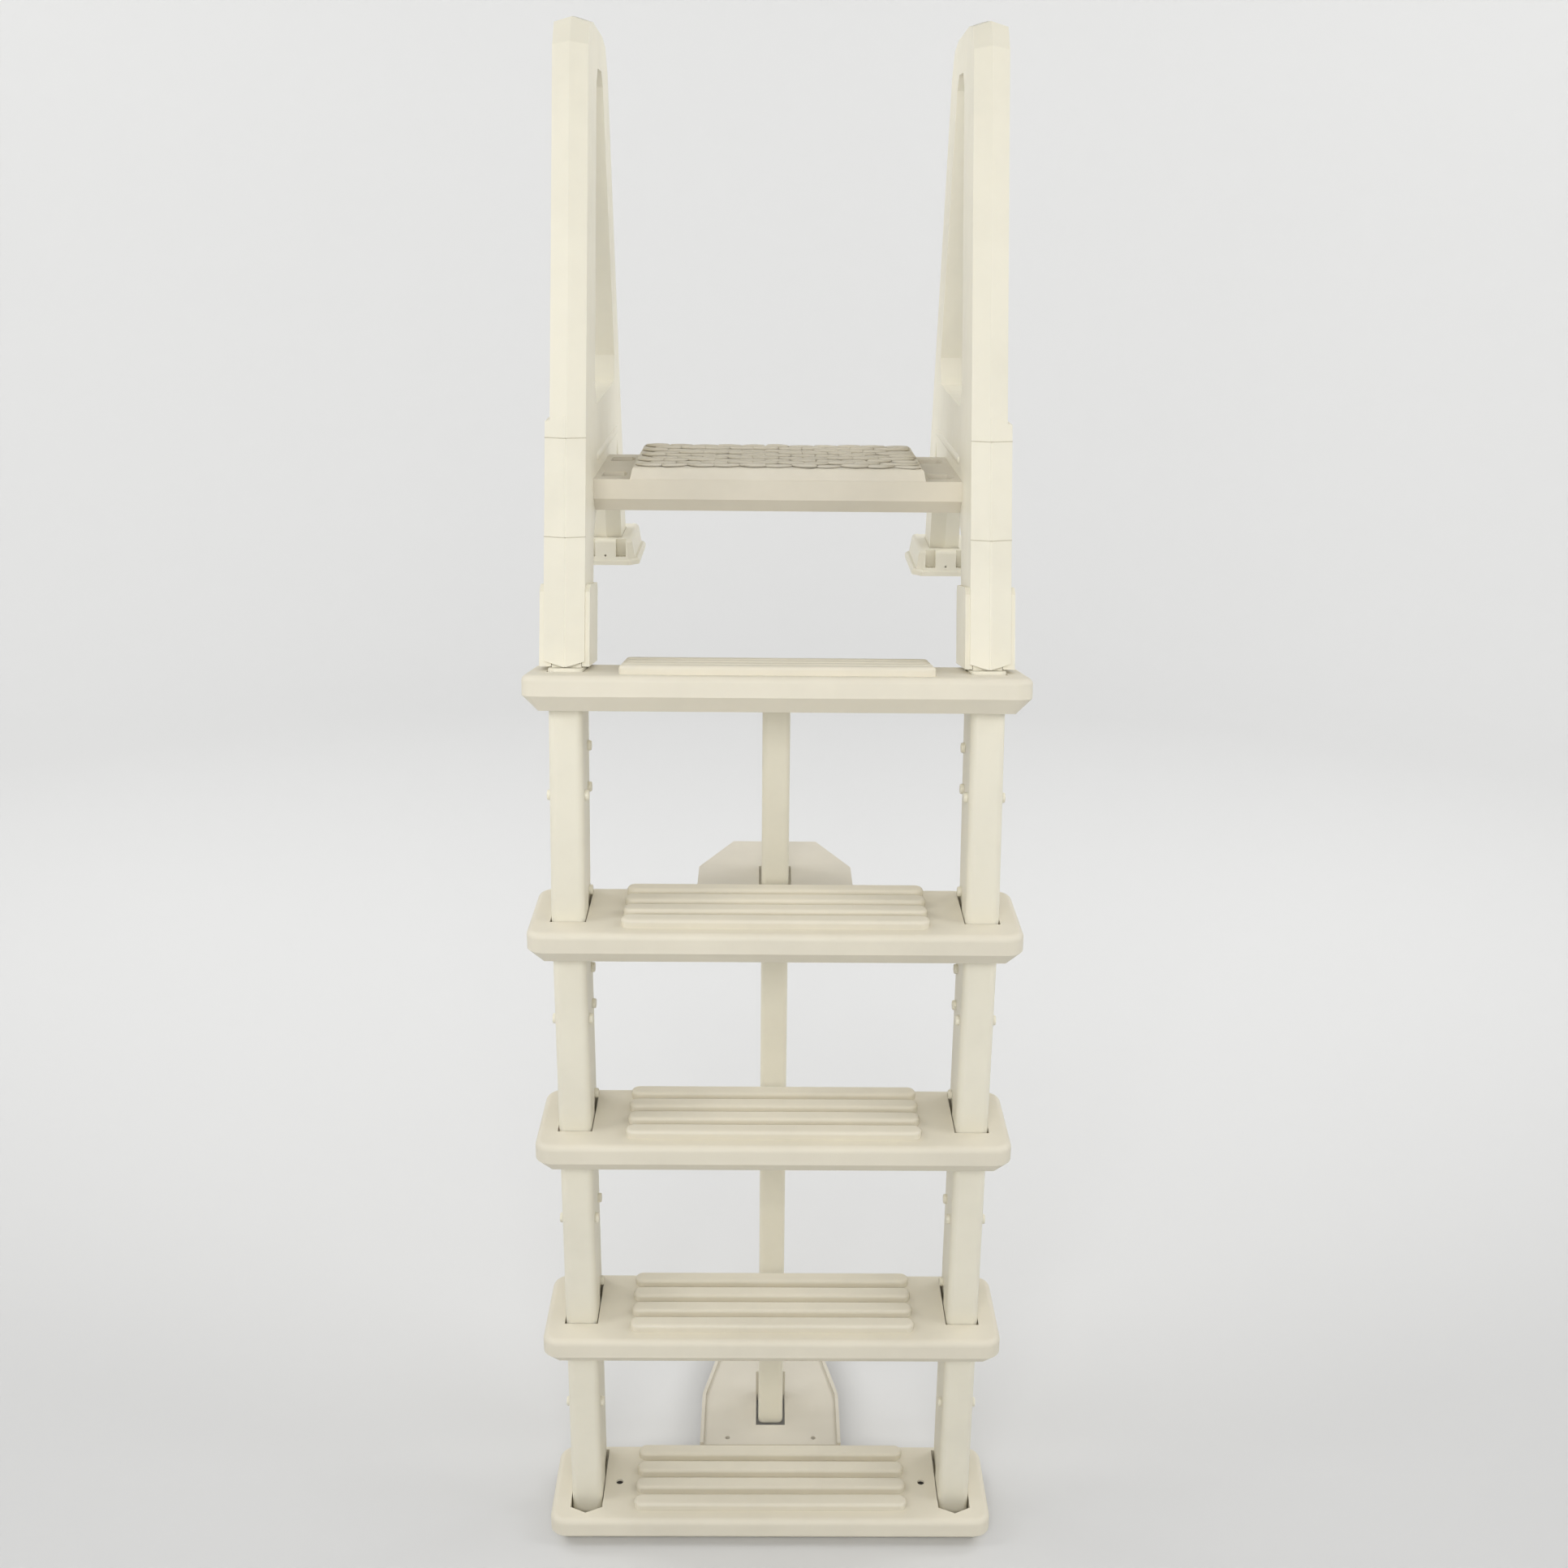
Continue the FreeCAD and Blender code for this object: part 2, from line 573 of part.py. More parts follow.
def make_flange(name, side):
    body = new_body("deck_flange_" + name)
    x = side * size("leg_centre")
    low = flange_level(side)
    top = low + size("flange_height")
    mid = flange_middle()
    half = size("flange_half")
    deep = size("flange_depth") / 2
    corner = size("flange_corner")
    base = sketch_on(body, "XY_Plane", low)
    draw_octagon(base, x, mid, half, deep, corner)
    pad(body, base, "Sizes.flange_base")
    dress(body, "Chamfer", "Sizes.flange_base / 3", flat_at(low + size("flange_base")))
    socket = sketch_on(body, "XY_Plane", low)
    draw_octagon(socket, x, mid, half - 5, deep - 0.5, corner - 3)
    pad(body, socket, "Sizes.flange_height", taper=-size("flange_taper"))
    dress(body, "Fillet", "Sizes.flange_round", flat_at(top))
    recesses = sketch_on(body, "XY_Plane", top)
    reach = size("recess_width") / 2
    for sx in (-1, 1):
        for face in (-1, 1):
            middle = x + sx * size("deck_hole_spread") / 2
            inner = mid + face * (deep - size("recess_depth"))
            outer = mid + face * (deep + OVERRUN)
            draw_outline(recesses, [(middle - reach, inner), (middle + reach, inner),
                                    (middle + reach, outer), (middle - reach, outer)])
    pocket(body, recesses, "Sizes.flange_height - Sizes.recess_floor")
    gap = size("sliding_gap")
    bore = sketch_on(body, "YZ_Plane", x)
    back = [(rear_y(z) + gap, z) for z in (low - OVERRUN, top + OVERRUN)]
    front = [(y - size("rear_leg_depth") - 2 * gap, z) for y, z in reversed(back)]
    draw_outline(bore, back + front)
    pocket(body, bore, "Sizes.upper_leg_width + 2 * Sizes.sliding_gap", midplane=True)
    holes = sketch_on(body, "XY_Plane", top)
    for sx in (-1, 1):
        for sy in (-1, 1):
            draw_circle(holes, x + sx * size("deck_hole_spread") / 2, mid + sy * size("deck_hole_length") / 2,
                        size("deck_hole") / 2, "Sizes.deck_hole / 2")
    pocket(body, holes, "Sizes.flange_height", through=True)


def air_space(side, outline):
    """The hollow inside a blow-moulded leg or panel."""
    wide = size("upper_leg_width") - 10
    x = side * size("leg_centre") - wide / 2
    corners = [Vector(x, y, z) for y, z in outline]
    return Part.Face(Part.makePolygon(corners + corners[:1])).extrude(Vector(wide, 0, 0))


def between(front_line, back_line, low, high):
    """Closed outline between two lines that give Y for a height."""
    front = [(front_line(z), z) for z in (low, high)]
    back = [(back_line(z), z) for z in (high, low)]
    return front + back


def handrail_spaces(side):
    wall = size("leg_wall")
    deep = size("rear_leg_depth")
    leg = size("leg_depth")
    top = size("opening_top") - 12
    front = between(lambda z: leg_y(z) + wall, lambda z: leg_y(z) + leg - 2 * wall,
                    size("shoulder_height") + 12, top)
    rear = between(lambda z: rear_y(z) - deep + 16, lambda z: rear_y(z) - wall,
                   size("rear_leg_end") + 14, top)
    panel = between(lambda z: leg_y(z) + leg + 8, lambda z: rear_y(z) - deep + 6,
                    size("panel_bottom") + 52, size("sill_height") - 14)
    return [air_space(side, front), air_space(side, rear), air_space(side, panel)]


def set_screw(start, length, head_diameter, head_thick):
    """A screw along Y whose tip is at start, with a round head at its far end."""
    along = Vector(0, 1, 0)
    stem = Part.makeCylinder(size("screw_diameter") / 2, length, start, along)
    head = Part.makeCylinder(head_diameter / 2, head_thick, start + along * length, along)
    rim = [e for e in head.Edges if len(e.Vertexes) == 1 and e.CenterOfMass.y > start.y + length + 2]
    return stem.fuse(head.makeFillet(2.0, rim)).removeSplitter()


def screw_hole(start, length):
    return Part.makeCylinder(size("screw_bore") / 2, length, start, Vector(0, 1, 0))


def fit_flange_screw(name, side):
    """The screw that clamps the flange from behind, and a small drain hole in its front."""
    x = side * size("leg_centre")
    half = size("flange_depth") / 2
    rise = size("flange_height") / 2
    height = flange_level(side) + rise
    tip = Vector(x, rear_y(height) + 1.2, height)
    seat = flange_middle() + half - rise * math.tan(math.radians(size("flange_taper"))) + 0.8
    group("flange_screw_" + name, [set_screw(tip, seat - tip.y, size("screw_head") + 2, 4)])
    front = Vector(x, flange_middle() - half - OVERRUN, flange_level(side) + 14)
    drain = Part.makeCylinder(1.6, 12, front, Vector(0, 1, 0))
    pilot = screw_hole(tip - Vector(0, 1, 0), 60)
    final["deck_flange_" + name] = cut_from("deck_flange_" + name, [pilot, drain])


def fit_height_screw(name, side):
    """The knob behind the sleeve that holds the handrail unit at its height."""
    height = size("collar_top") - 44
    spigot_back = size("spigot_front") - MID + (height - size("lean_datum")) * LEAN + size("spigot_depth")
    tip = Vector(side * size("leg_centre"), spigot_back + 2.4, height)
    knob_face = leg_y(height + 15) + size("leg_depth") + 0.5
    length = knob_face - tip.y
    group("height_screw_" + name, [set_screw(tip, length, size("knob_diameter"), size("knob_thick"))])
    pilot = screw_hole(tip - Vector(0, 4, 0), length + 20)
    side_bores = [bore for bore in bores if bore.CenterOfMass.x * side > 0]
    final["handrail_" + name] = cut_from("handrail_" + name, side_bores + [pilot] + handrail_spaces(side))


for name, side in SIDES:
    make_flange(name, side)
    fit_flange_screw(name, side)
    fit_height_screw(name, side)


# ---- centre strut and its two brackets --------------------------------------------

def make_strut():
    body = new_body("centre_strut")
    front = size("strut_front") - MID
    wall = size("strut_wall")
    base = sketch_on(body, "XY_Plane", size("strut_bottom"), "Sizes.strut_bottom")
    draw_rectangle(base, -size("strut_width") / 2, front, size("strut_width"),
                   size("strut_depth"), "Sizes.strut_width", "Sizes.strut_depth")
    pad(body, base, "Sizes.strut_top - Sizes.strut_bottom")
    dress(body, "Fillet", "Sizes.strut_edge", lambda e: e.Length > 500)
    dress(body, "Fillet", "Sizes.strut_end_edge", flat_at(size("strut_bottom")))
    cap = 3 * wall
    hollow(body, (wall - size("strut_width") / 2, front + wall, size("strut_bottom") + cap),
           size("strut_width") - 2 * wall, size("strut_depth") - 2 * wall,
           size("strut_top") - size("strut_bottom") - 2 * cap)


def make_bracket(name, lips):
    """A plate from behind a tread to the strut, with a skirt and a lug; returns the lug's middle."""
    body = new_body(name)
    height = size(name + "_height")
    thick = size("bracket_thick")
    half = size("bracket_width") / 2
    tip = size(name + "_tip") / 2
    front = size("tread_depth") - MID
    shoulder = front + size("bracket_shoulder")
    rear = size(name + "_end") - MID
    plate = sketch_on(body, "XY_Plane", height)
    draw_outline(plate, [(-half, front), (half, front), (half, shoulder), (tip, rear),
                         (-tip, rear), (-half, shoulder)])
    pad(body, plate, "Sizes.bracket_thick")
    skirt = sketch_on(body, "XY_Plane", height - size("skirt_drop"))
    draw_rectangle(skirt, -half, front, 2 * half, size("skirt_thick"), "Sizes.bracket_width")
    pad(body, skirt, "Sizes.skirt_drop")
    if lips:
        edges = sketch_on(body, "XY_Plane", height)
        lip = size("lip_thick")
        split = shoulder + 0.1
        for s in (-1, 1):
            draw_outline(edges, [(s * half, front), (s * half, shoulder), (s * (half - lip), shoulder),
                                 (s * (half - lip), front)])
            draw_outline(edges, [(s * half, split), (s * tip, rear), (s * (tip - lip), rear),
                                 (s * (half - lip), split)])
        pad(body, edges, "Sizes.bracket_thick + Sizes.lip_height")
    lug_low = height + thick - 1 if lips else height + 1 - size("lug_height")
    slot_half = size("strut_width") / 2 + 3.5
    lug = sketch_on(body, "XY_Plane", lug_low)
    draw_rectangle(lug, -slot_half - 0.5, size("strut_front") - MID + size("strut_depth"),
                   2 * slot_half + 1, size("lug_thick"))
    pad(body, lug, "Sizes.lug_height")
    slot = sketch_on(body, "XY_Plane", height + thick)
    draw_rectangle(slot, -slot_half, size("strut_front") - MID - 8, 2 * slot_half, size("strut_depth") + 8)
    pocket(body, slot, "Sizes.bracket_thick")
    drains = sketch_on(body, "XY_Plane", height + thick)
    for s in (-1, 1):
        draw_circle(drains, s * size("drain_spread") / 2, front + 15, size("drain_diameter") / 2)
    pocket(body, drains, "Sizes.bracket_thick")
    return lug_low + (28 if lips else 16)


def fit_bracket(name, lips, tread):
    """The bracket with its screws into the strut and into the tread; returns the strut's bores."""
    lug_middle = make_bracket(name, lips)
    lug_back = size("strut_front") - MID + size("strut_depth") + size("lug_thick")
    tread_back = size("tread_depth") - MID
    head = (size("screw_head"), size("screw_head_thick"))
    strut_tips = [Vector(s * 9, lug_back - 22, lug_middle) for s in (-1, 1)]
    tread_tips = [Vector(s * 84, tread_back - 12, size(name + "_height") - 9) for s in (-1, 1)]
    group(name + "_strut_screws", [set_screw(tip, 22, *head) for tip in strut_tips])
    group(name + "_tread_screws", [set_screw(tip, 20, *head) for tip in tread_tips])
    into_strut = [screw_hole(tip, 30) for tip in strut_tips]
    into_tread = [screw_hole(tip, 24) for tip in tread_tips]
    final[name] = cut_from(name, into_strut + into_tread)
    tread_bores[tread] = into_tread
    return into_strut


make_strut()
tread_bores = {}
strut_bores = fit_bracket("upper_bracket", False, "tread_2") + fit_bracket("lower_bracket", True, "tread_5")
final["centre_strut"] = cut_from("centre_strut", strut_bores)


# ---- bottom tread: pointed ends of its leg holes and the fill plugs -----------------

def open_bottom_slots():
    body = doc.getObject("tread_5")
    notch = sketch_on(body, "XY_Plane", size("tread_thick"))
    half = size("rail_width") / 2 + 1
    back = size("rail_front") - MID + 4
    cheek = back - 17
    point = back - 28
    for _, side in SIDES:
        x = side * size("leg_centre")
        draw_outline(notch, [(x - half, back), (x - half, cheek), (x, point),
                             (x + half, cheek), (x + half, back)])
    pocket(body, notch, "Sizes.tread_thick", through=True)
    wells = sketch_on(body, "XY_Plane", size("tread_thick"))
    for _, side in SIDES:
        draw_circle(wells, side * size("plug_spread"), 0, size("well_diameter") / 2)
    pocket(body, wells, "Sizes.well_depth")


def fill_plug(side):
    place = Vector(side * size("plug_spread"), 0, size("tread_thick") - size("well_depth"))
    return Part.makeCylinder(size("plug_diameter") / 2, size("plug_depth"), place, Vector(0, 0, 1))


open_bottom_slots()
group("fill_plugs", [fill_plug(side) for _, side in SIDES])
for tread, solids in tread_bores.items():
    final[tread] = cut_from(tread, solids)


# ---- write --------------------------------------------------------------------

doc.recompute()
for item in doc.Objects:
    if "Invalid" in item.State or "Error" in item.State:
        failures.append(item.Name + " " + str(item.State))
tools = {item.Tool.Name for item in final.values()}
for item in doc.Objects:
    own_node = item.TypeId == "PartDesign::Body" or item.TypeId == "Part::Feature"
    if not own_node or item.Name in tools:
        continue
    shape = final[item.Name].Shape if item.Name in final else item.Shape
    if shape.isNull() or not shape.isValid():
        failures.append(item.Label + " has a bad shape")
        continue
    box = shape.BoundBox
    print("%-22s %9.0f mm3 %3d solids  Y %6.0f..%6.0f Z %6.0f..%6.0f" % (
        item.Label, shape.Volume, len(shape.Solids), box.YMin, box.YMax, box.ZMin, box.ZMax))
    shape.exportStep("parts/%s.step" % item.Label)
print("failures:", failures)
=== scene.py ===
import json
import math
import random

import bmesh
import bpy
from mathutils import Matrix, Vector


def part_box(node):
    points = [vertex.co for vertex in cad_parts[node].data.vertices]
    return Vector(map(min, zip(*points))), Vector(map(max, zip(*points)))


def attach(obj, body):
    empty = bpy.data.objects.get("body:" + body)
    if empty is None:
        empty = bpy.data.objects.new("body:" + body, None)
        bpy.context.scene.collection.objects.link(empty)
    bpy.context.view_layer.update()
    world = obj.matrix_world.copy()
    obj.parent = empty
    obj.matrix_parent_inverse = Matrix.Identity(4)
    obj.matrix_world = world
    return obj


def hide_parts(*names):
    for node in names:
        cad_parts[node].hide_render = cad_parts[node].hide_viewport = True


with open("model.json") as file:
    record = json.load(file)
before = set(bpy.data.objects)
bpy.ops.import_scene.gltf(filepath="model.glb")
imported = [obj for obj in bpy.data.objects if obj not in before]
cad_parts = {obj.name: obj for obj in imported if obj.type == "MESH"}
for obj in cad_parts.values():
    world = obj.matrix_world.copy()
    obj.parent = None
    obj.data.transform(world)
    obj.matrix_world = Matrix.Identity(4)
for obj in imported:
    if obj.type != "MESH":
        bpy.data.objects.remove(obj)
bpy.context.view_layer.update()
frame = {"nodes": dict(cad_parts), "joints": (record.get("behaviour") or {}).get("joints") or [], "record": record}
scene = bpy.context.scene
nodes = frame["nodes"]
SIDES = ("left", "right")


# ---- camera ------------------------------------------------------------------

CAMERA_PLACE = Vector((-0.014, -1.978, 1.759))
CAMERA_DOWN = math.radians(18.64)
CAMERA_TURN = math.radians(0.67)
CAMERA_ROLL = math.radians(0.59)
SENSOR_WIDTH = 36
FOCAL_LENGTH = 39.1

camera_data = bpy.data.cameras.new("camera")
camera_data.sensor_width = SENSOR_WIDTH
camera_data.lens = FOCAL_LENGTH
camera = bpy.data.objects.new("camera", camera_data)
scene.collection.objects.link(camera)
camera.matrix_world = (
    Matrix.Translation(CAMERA_PLACE)
    @ Matrix.Rotation(-CAMERA_TURN, 4, "Z")
    @ Matrix.Rotation(math.pi / 2 - CAMERA_DOWN, 4, "X")
    @ Matrix.Rotation(CAMERA_ROLL, 4, "Z")
)
scene.camera = camera


# ---- materials ---------------------------------------------------------------

def new_material(name):
    material = bpy.data.materials.new(name)
    material.use_nodes = True
    tree = material.node_tree
    return material, tree, tree.nodes["Principled BSDF"]


def noise(tree, scale, detail=3.0, rough=0.5, stretch=None):
    """Noise in the piece's own coordinates, drawn out along one axis if stretched."""
    coords = tree.nodes.new("ShaderNodeTexCoord")
    node = tree.nodes.new("ShaderNodeTexNoise")
    node.inputs["Scale"].default_value = scale
    node.inputs["Detail"].default_value = detail
    node.inputs["Roughness"].default_value = rough
    if stretch:
        mapping = tree.nodes.new("ShaderNodeMapping")
        mapping.inputs["Scale"].default_value = stretch
        tree.links.new(coords.outputs["Object"], mapping.inputs["Vector"])
        tree.links.new(mapping.outputs["Vector"], node.inputs["Vector"])
    else:
        tree.links.new(coords.outputs["Object"], node.inputs["Vector"])
    return node


def ramp(tree, source, low, high, middle=None):
    """A colour ramp from one (position, colour) stop to another, with one more between."""
    node = tree.nodes.new("ShaderNodeValToRGB")
    elements = node.color_ramp.elements
    elements[0].position, elements[0].color = low
    elements[1].position, elements[1].color = high
    if middle:
        position, colour = middle
        elements.new(position).color = colour
    tree.links.new(source, node.inputs["Fac"])
    return node


def bump(tree, height, strength, distance, after=None):
    node = tree.nodes.new("ShaderNodeBump")
    node.inputs["Strength"].default_value = strength
    node.inputs["Distance"].default_value = distance
    tree.links.new(height, node.inputs["Height"])
    if after:
        tree.links.new(after.outputs["Normal"], node.inputs["Normal"])
    return node


def shade(colour, factor):
    return tuple(c * factor for c in colour) + (1.0,)


def grey(value):
    return (value, value, value, 1.0)


SMOOTH = 0.40                         # lowest roughness of a clean moulding
SCUFFED = 0.47                        # and of one that feet wear
ROUGHNESS_RANGE = 0.13


def moulded_resin(name, colour, grain, roughness):
    """Blow-moulded resin: orange-peel waves, a fine grain, slight mottling and soft scuffs."""
    material, tree, shader = new_material(name)
    mottle = noise(tree, 9.0, 4.0, 0.6)
    tint = ramp(tree, mottle.outputs["Fac"], (0.30, shade(colour, 0.955)), (0.75, shade(colour, 1.03)),
                middle=(0.52, shade(colour, 1.0)))
    tree.links.new(tint.outputs["Color"], shader.inputs["Base Color"])
    gloss = noise(tree, 34.0, 5.0, 0.65)
    rough = ramp(tree, gloss.outputs["Fac"],
                 (0.30, grey(roughness)), (0.70, grey(roughness + ROUGHNESS_RANGE)))
    tree.links.new(rough.outputs["Color"], shader.inputs["Roughness"])
    waves = noise(tree, 26.0, 2.0, 0.4)
    fine = noise(tree, 1500.0, 2.0, 0.5)
    first = bump(tree, waves.outputs["Fac"], 0.10, 0.004)
    second = bump(tree, fine.outputs["Fac"], grain, 0.0003, after=first)
    tree.links.new(second.outputs["Normal"], shader.inputs["Normal"])
    shader.inputs["Specular IOR Level"].default_value = 0.42
    shader.inputs["Subsurface Weight"].default_value = 0.04
    shader.inputs["Subsurface Scale"].default_value = 0.004
    shader.inputs["Subsurface Radius"].default_value = (1.0, 0.8, 0.5)
    return material


def brushed_metal(name, colour):
    """Metal with fine streaks in its colour, gloss and surface."""
    material, tree, shader = new_material(name)
    streaks = noise(tree, 320.0, 3.0, 0.6, (1.0, 9.0, 1.0))
    tint = ramp(tree, streaks.outputs["Fac"], (0.25, shade(colour, 0.85)), (0.75, shade(colour, 1.08)))
    tree.links.new(tint.outputs["Color"], shader.inputs["Base Color"])
    rough = ramp(tree, streaks.outputs["Fac"], (0.2, grey(0.24)), (0.8, grey(0.42)))
    tree.links.new(rough.outputs["Color"], shader.inputs["Roughness"])
    ridges = bump(tree, streaks.outputs["Fac"], 0.15, 0.0002)
    tree.links.new(ridges.outputs["Normal"], shader.inputs["Normal"])
    shader.inputs["Metallic"].default_value = 1.0
    return material


def dark_rubber(name, dark, light):
    """Matt rubber with a fine skin."""
    material, tree, shader = new_material(name)
    grain = noise(tree, 700.0, 3.0, 0.6)
    tint = ramp(tree, grain.outputs["Fac"], (0.3, dark), (0.7, light))
    tree.links.new(tint.outputs["Color"], shader.inputs["Base Color"])
    skin = bump(tree, grain.outputs["Fac"], 0.3, 0.0003)
    tree.links.new(skin.outputs["Normal"], shader.inputs["Normal"])
    shader.inputs["Roughness"].default_value = 0.62
    return material


resin = moulded_resin("resin_smooth", (0.80, 0.762, 0.635), 0.22, SMOOTH)
# The treads' resin is a darker copy of the smooth resin: painted shade of the tread tops. Its rougher, scuffed
# gloss is real wear.
tread_resin_painted_shade = moulded_resin("resin_tread", (0.755, 0.705, 0.58), 0.45, SCUFFED)
platform_resin = moulded_resin("resin_platform", (0.70, 0.65, 0.54), 0.40, SCUFFED)
# The petals are a darker copy of the platform's resin: painted shade for the shading between the overlapping
# scales.
petal_resin_painted_shade = moulded_resin("resin_petals_painted_shade", (0.60, 0.557, 0.46), 0.40, SCUFFED)
# The brackets' resin is darkened as painted shade, for the shadow that the treads above cast on the bracket
# plates. Nodes with no other finish take it too.
bracket_resin_painted_shade = moulded_resin("resin_bracket_painted_shade", (0.65, 0.61, 0.52), 0.35, SMOOTH)
seam_resin = moulded_resin("resin_seam", (0.58, 0.535, 0.42), 0.2, SCUFFED)
metal = brushed_metal("stainless", (0.62, 0.61, 0.58))
rubber = dark_rubber("plug_rubber", (0.018, 0.016, 0.014, 1), (0.035, 0.032, 0.028, 1))

SMOOTH_NODES = (
    "tread_locks", "side_rail", "rail_foot", "front_pins", "rear_pins",
    "handrail", "height_screw", "deck_flange", "centre_strut",
)
METAL_NODES = ("platform_bolts", "platform_nuts")


def finish_of(name):
    if name.startswith(SMOOTH_NODES):
        return resin
    if name.startswith("tread_"):
        return tread_resin_painted_shade
    if name == "platform":
        return platform_resin
    if name == "fill_plugs":
        return rubber
    if "screw" in name or name in METAL_NODES:
        return metal
    return bracket_resin_painted_shade


def set_material(piece, material):
    if not piece.material_slots:
        piece.data.materials.append(material)
    for held in piece.material_slots:
        held.material = material


# ---- CAD nodes: finish, and rounded copies of the moulded ones ---------------------

ROUNDED = {                           # edge radius of each moulded node
    "handrail_left": 0.0045, "handrail_right": 0.0045, "platform": 0.003,
    "deck_flange_left": 0.002, "deck_flange_right": 0.002,
    "upper_bracket": 0.0015, "lower_bracket": 0.0015,
    "side_rail_left": 0.002, "side_rail_right": 0.002,
}
SAME_POINT = 0.00002
FLAT_ANGLE = math.radians(1.0)
EDGE_ANGLE = math.radians(14)
EDGE_SEGMENTS = 3


def body_name(node):
    for body, members in frame["record"]["behaviour"]["bodies"].items():
        if node in members:
            return body
    return "root"


def even_normals(piece):
    even = piece.modifiers.new("even", "WEIGHTED_NORMAL")
    even.keep_sharp = True
    for face in piece.data.polygons:
        face.use_smooth = True


def rounded_copy(name, radius):
    """The node's mesh with its sharp moulded edges rounded off, standing in for the node."""
    mesh = bpy.data.meshes.new(name + "_shell")
    work = bmesh.new()
    work.from_mesh(nodes[name].data)
    bmesh.ops.remove_doubles(work, verts=work.verts, dist=SAME_POINT)
    bmesh.ops.dissolve_limit(work, angle_limit=FLAT_ANGLE, verts=work.verts, edges=work.edges)
    work.to_mesh(mesh)
    work.free()
    piece = bpy.data.objects.new(name + "_shell", mesh)
    scene.collection.objects.link(piece)
    soften = piece.modifiers.new("rounded", "BEVEL")
    soften.width = radius
    soften.segments = EDGE_SEGMENTS
    soften.limit_method = "ANGLE"
    soften.angle_limit = EDGE_ANGLE
    soften.use_clamp_overlap = True
    soften.harden_normals = False
    even_normals(piece)
    set_material(piece, finish_of(name))
    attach(piece, body_name(name))
    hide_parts(name)
    return piece


shells = {}
for name, node in nodes.items():
    set_material(node, finish_of(name))
    if name in ROUNDED:
        shells[name] = rounded_copy(name, ROUNDED[name])


# ---- making pieces -------------------------------------------------------------------

def new_piece(name, work, material, body):
    mesh = bpy.data.meshes.new(name)
    work.to_mesh(mesh)
    work.free()
    piece = bpy.data.objects.new(name, mesh)
    scene.collection.objects.link(piece)
    piece.data.materials.append(material)
    even_normals(piece)
    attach(piece, body)


def add_block(work, centre, half, radius, segments):
    """A block with rounded edges, added to a mesh being built."""
    verts = bmesh.ops.create_cube(work, size=2.0)["verts"]
    for vert in verts:
        vert.co = Vector(centre) + Vector(vert.co[k] * half[k] for k in range(3))
    edges = list({edge for vert in verts for edge in vert.link_edges})
    bmesh.ops.bevel(work, geom=edges, offset=min(radius, 0.98 * min(half)), segments=segments,
                    affect="EDGES", profile=0.5)


# ---- parting lines across the handrails' front legs ------------------------------------

SEAM_DROPS = {"seam_low_": 0.604, "seam_high_": 0.490}     # below the handrail's top
SEAM_RADIUS = 0.0006
LEG_REACH = 0.14                      # how far back the front leg can start
FACET_REACH = 0.009                   # depth of the leg's front facets


def section_loops(piece, height):
    """Closed outlines where a level plane cuts the finished shape of a piece."""
    depsgraph = bpy.context.evaluated_depsgraph_get()
    work = bmesh.new()
    work.from_mesh(piece.evaluated_get(depsgraph).to_mesh())
    cut = bmesh.ops.bisect_plane(
        work, geom=work.verts[:] + work.edges[:] + work.faces[:],
        plane_co=(0, 0, height), plane_no=(0, 0, 1))
    edges = [item for item in cut["geom_cut"] if isinstance(item, bmesh.types.BMEdge)]
    links = {}
    for edge in edges:
        first, second = edge.verts
        links.setdefault(first, []).append(second)
        links.setdefault(second, []).append(first)
    loops = []
    unused = set(links)
    while unused:
        start = min(unused, key=lambda vert: tuple(vert.co))
        loop = [start]
        unused.discard(start)
        step = [vert for vert in links[start] if vert in unused]
        while step:
            loop.append(step[0])
            unused.discard(step[0])
            step = [vert for vert in links[loop[-1]] if vert in unused]
        loops.append([vert.co.copy() for vert in loop])
    work.free()
    return loops


def loop_length(points):
    return sum((points[k] - points[k - 1]).length for k in range(len(points)))


def add_seam(name, piece, height, behind):
    """A fine parting line across the front facets of a leg at a height."""
    loops = [loop for loop in section_loops(piece, height) if min(point.y for point in loop) < behind]
    outline = max(loops, key=loop_length)
    front = min(point.y for point in outline)
    across = sorted((point for point in outline if point.y < front + FACET_REACH),
                    key=lambda point: point.x)
    curve = bpy.data.curves.new(name, "CURVE")
    curve.dimensions = "3D"
    curve.bevel_depth = SEAM_RADIUS
    spline = curve.splines.new("POLY")
    spline.points.add(len(across) - 1)
    for point, place in zip(spline.points, across):
        point.co = (place.x, place.y, place.z, 1)
    seam = bpy.data.objects.new(name, curve)
    scene.collection.objects.link(seam)
    curve.materials.append(seam_resin)
    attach(seam, "handrail_unit")


# ---- relief on the handrails' side panels ------------------------------------------------

SLIDE = [joint for joint in frame["joints"] if joint["name"] == "handrail_height"][0]["axis"]
LEAN = SLIDE[1] / SLIDE[2]
HANDRAIL_HEIGHT = 0.7526              # from the sleeve's front lip to the top
SILL_DROP = 0.465                     # from the top to the lower edge of the loop's opening
PANEL_SETBACK = 0.155                 # from the leaning front edge to the relief
LEG_HALF_WIDTH = 0.022
PROUD = 0.0002
# Long pad and ledge: place behind the relief's front, drop below the sill, half sizes,
# edge radius and edge segments.
BARS = (
    (0.125, 0.024, (0.0022, 0.125, 0.0068), 0.006, 4),
    (0.122, 0.066, (0.0052, 0.150, 0.0065), 0.005, 3),
)
VENT_PLACES = (0.045, 0.238)
VENT_DROP = 0.039
VENT_RIBS = 5
VENT_PITCH = 0.0048
VENT_HALF = (0.0022, 0.019, 0.0011)
VENT_ROUND = 0.001
PLUG_PLACES = (0.012, 0.205)
PLUG_DROP = 0.047
PLUG_BASE = 0.0042
PLUG_FACE = 0.0036
PLUG_DEPTH = 0.0016
PLUG_STEPS = 24


